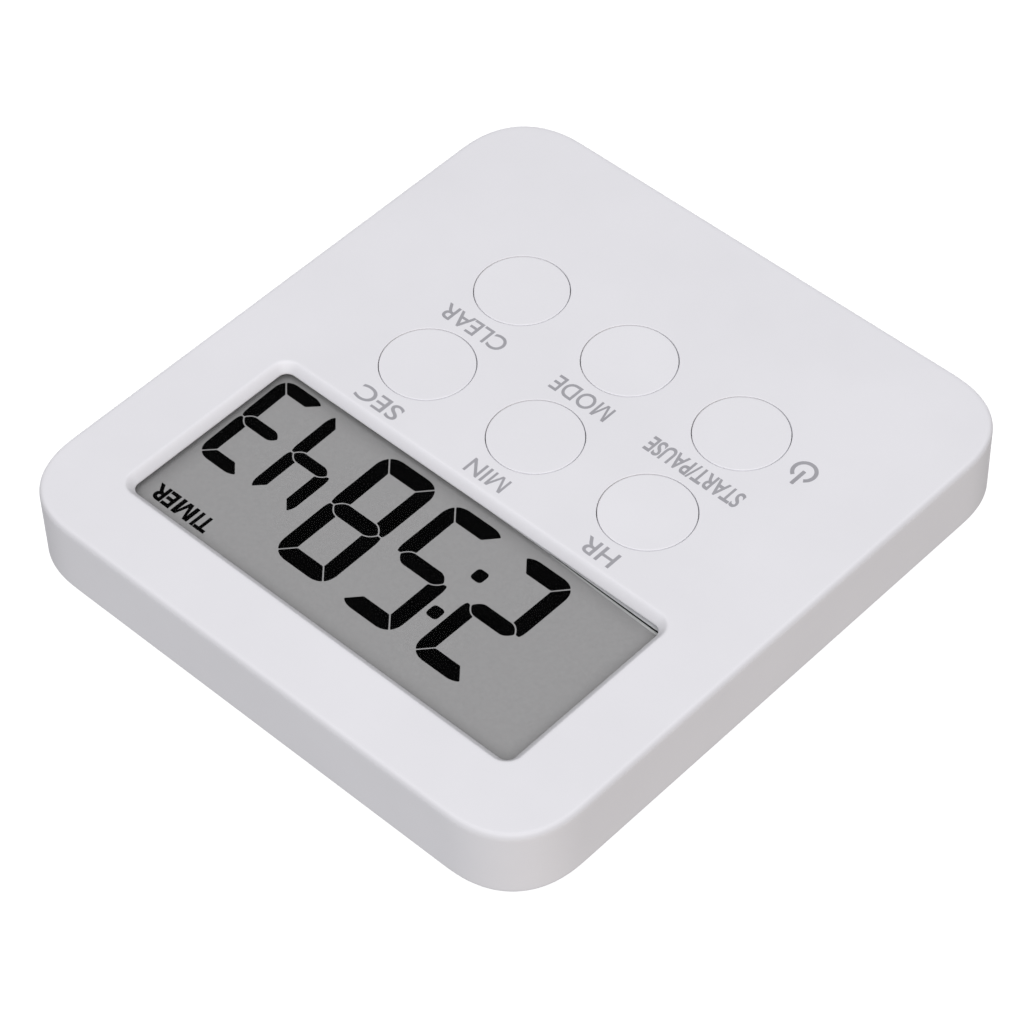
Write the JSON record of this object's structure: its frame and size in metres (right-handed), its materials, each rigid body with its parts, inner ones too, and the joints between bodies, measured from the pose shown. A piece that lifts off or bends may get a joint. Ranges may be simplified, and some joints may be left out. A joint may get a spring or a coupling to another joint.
{
  "type": "digital countdown timer",
  "caption": "Flat rounded-square countdown timer with a grey segment display, round flush push buttons, fold-out stand, magnets and a battery door.",
  "frame": {"origin": "under the centre of the case outline, on the rear cover's back face", "axes": "+X to the right and +Y to the top of the face as it is read, +Z out of the face"},
  "size_m": [0.0762, 0.0824, 0.014],
  "materials": {
    "white_shell": "fine matt white moulded plastic",
    "white_back": "matt white moulded plastic",
    "white_cap": "fine matt white moulded plastic",
    "window": "clear acrylic",
    "lcd_film": "grey polarising film",
    "lcd_glass": "clear display glass",
    "lcd_ground": "grey reflecting film behind the digits",
    "frame_plastic": "plain white moulded plastic",
    "zebra": "banded conducting rubber",
    "board": "green board with solder mask",
    "epoxy": "black epoxy",
    "steel": "plain steel",
    "nickel": "nickel-plated magnet",
    "switch_body": "black moulded plastic",
    "plunger": "black moulded plastic",
    "brass": "thin rolled brass",
    "piezo": "unglazed pale ceramic",
    "cell_jacket": "plain printed jacket with steel ends",
    "wire_red": "red wire sleeve",
    "wire_black": "black wire sleeve"
  },
  "bodies": {
    "case": {"front_shell": "white_shell", "rear_cover": "white_back", "battery": "cell_jacket", "battery_contact_positive": "steel", "battery_contact_negative": "steel", "battery_spring": "steel", "battery_wire_red": "wire_red", "battery_wire_black": "wire_black", "buzzer_wire_red": "wire_red", "buzzer_wire_black": "wire_black", "main_pcb": "board", "chip_blob": "epoxy", "crystal": "steel", "piezo_brass": "brass", "piezo_ceramic": "piezo", "display_window": "window", "lcd_polariser": "lcd_film", "lcd_front_glass": "lcd_glass", "lcd_rear_glass": "lcd_glass", "lcd_reflector": "lcd_ground", "lcd_frame": "frame_plastic", "zebra_strip": "zebra", "magnet_left": "nickel", "magnet_right": "nickel", "case_screw_1": "steel", "pcb_screw_1": "steel", "case_screw_2": "steel", "pcb_screw_2": "steel", "case_screw_3": "steel", "pcb_screw_3": "steel", "case_screw_4": "steel", "pcb_screw_4": "steel", "switch_hours": "switch_body", "switch_minutes": "switch_body", "switch_seconds": "switch_body", "switch_start_pause": "switch_body", "switch_mode": "switch_body", "switch_clear": "switch_body"},
    "stand": {"stand": "white_back"},
    "battery_door": {"battery_door": "white_back"},
    "key_hours": {"button_hours": "white_cap", "plunger_hours": "plunger"},
    "key_minutes": {"button_minutes": "white_cap", "plunger_minutes": "plunger"},
    "key_seconds": {"button_seconds": "white_cap", "plunger_seconds": "plunger"},
    "key_start_pause": {"button_start_pause": "white_cap", "plunger_start_pause": "plunger"},
    "key_mode": {"button_mode": "white_cap", "plunger_mode": "plunger"},
    "key_clear": {"button_clear": "white_cap", "plunger_clear": "plunger"}
  },
  "joints": [
    {"name": "press_hours", "type": "slide", "parent": "case", "child": "key_hours", "axis": [0, 0, -1], "range_m": [0, 0.0005], "stiffness_N_per_m": 150, "springref_m": -0.0008},
    {"name": "press_minutes", "type": "slide", "parent": "case", "child": "key_minutes", "axis": [0, 0, -1], "range_m": [0, 0.0005], "stiffness_N_per_m": 150, "springref_m": -0.0008},
    {"name": "press_seconds", "type": "slide", "parent": "case", "child": "key_seconds", "axis": [0, 0, -1], "range_m": [0, 0.0005], "stiffness_N_per_m": 150, "springref_m": -0.0008},
    {"name": "press_start_pause", "type": "slide", "parent": "case", "child": "key_start_pause", "axis": [0, 0, -1], "range_m": [0, 0.0005], "stiffness_N_per_m": 150, "springref_m": -0.0008},
    {"name": "press_mode", "type": "slide", "parent": "case", "child": "key_mode", "axis": [0, 0, -1], "range_m": [0, 0.0005], "stiffness_N_per_m": 150, "springref_m": -0.0008},
    {"name": "press_clear", "type": "slide", "parent": "case", "child": "key_clear", "axis": [0, 0, -1], "range_m": [0, 0.0005], "stiffness_N_per_m": 150, "springref_m": -0.0008},
    {"name": "stand_fold", "type": "hinge", "parent": "case", "child": "stand", "pos_m": [0, -0.0179, 0.00115], "axis": [-1, 0, 0], "range_deg": [0, 98]},
    {"name": "door_open", "type": "hinge", "parent": "case", "child": "battery_door", "pos_m": [0, -0.023, 0.00065], "axis": [1, 0, 0], "range_deg": [0, 95]}
  ]
}
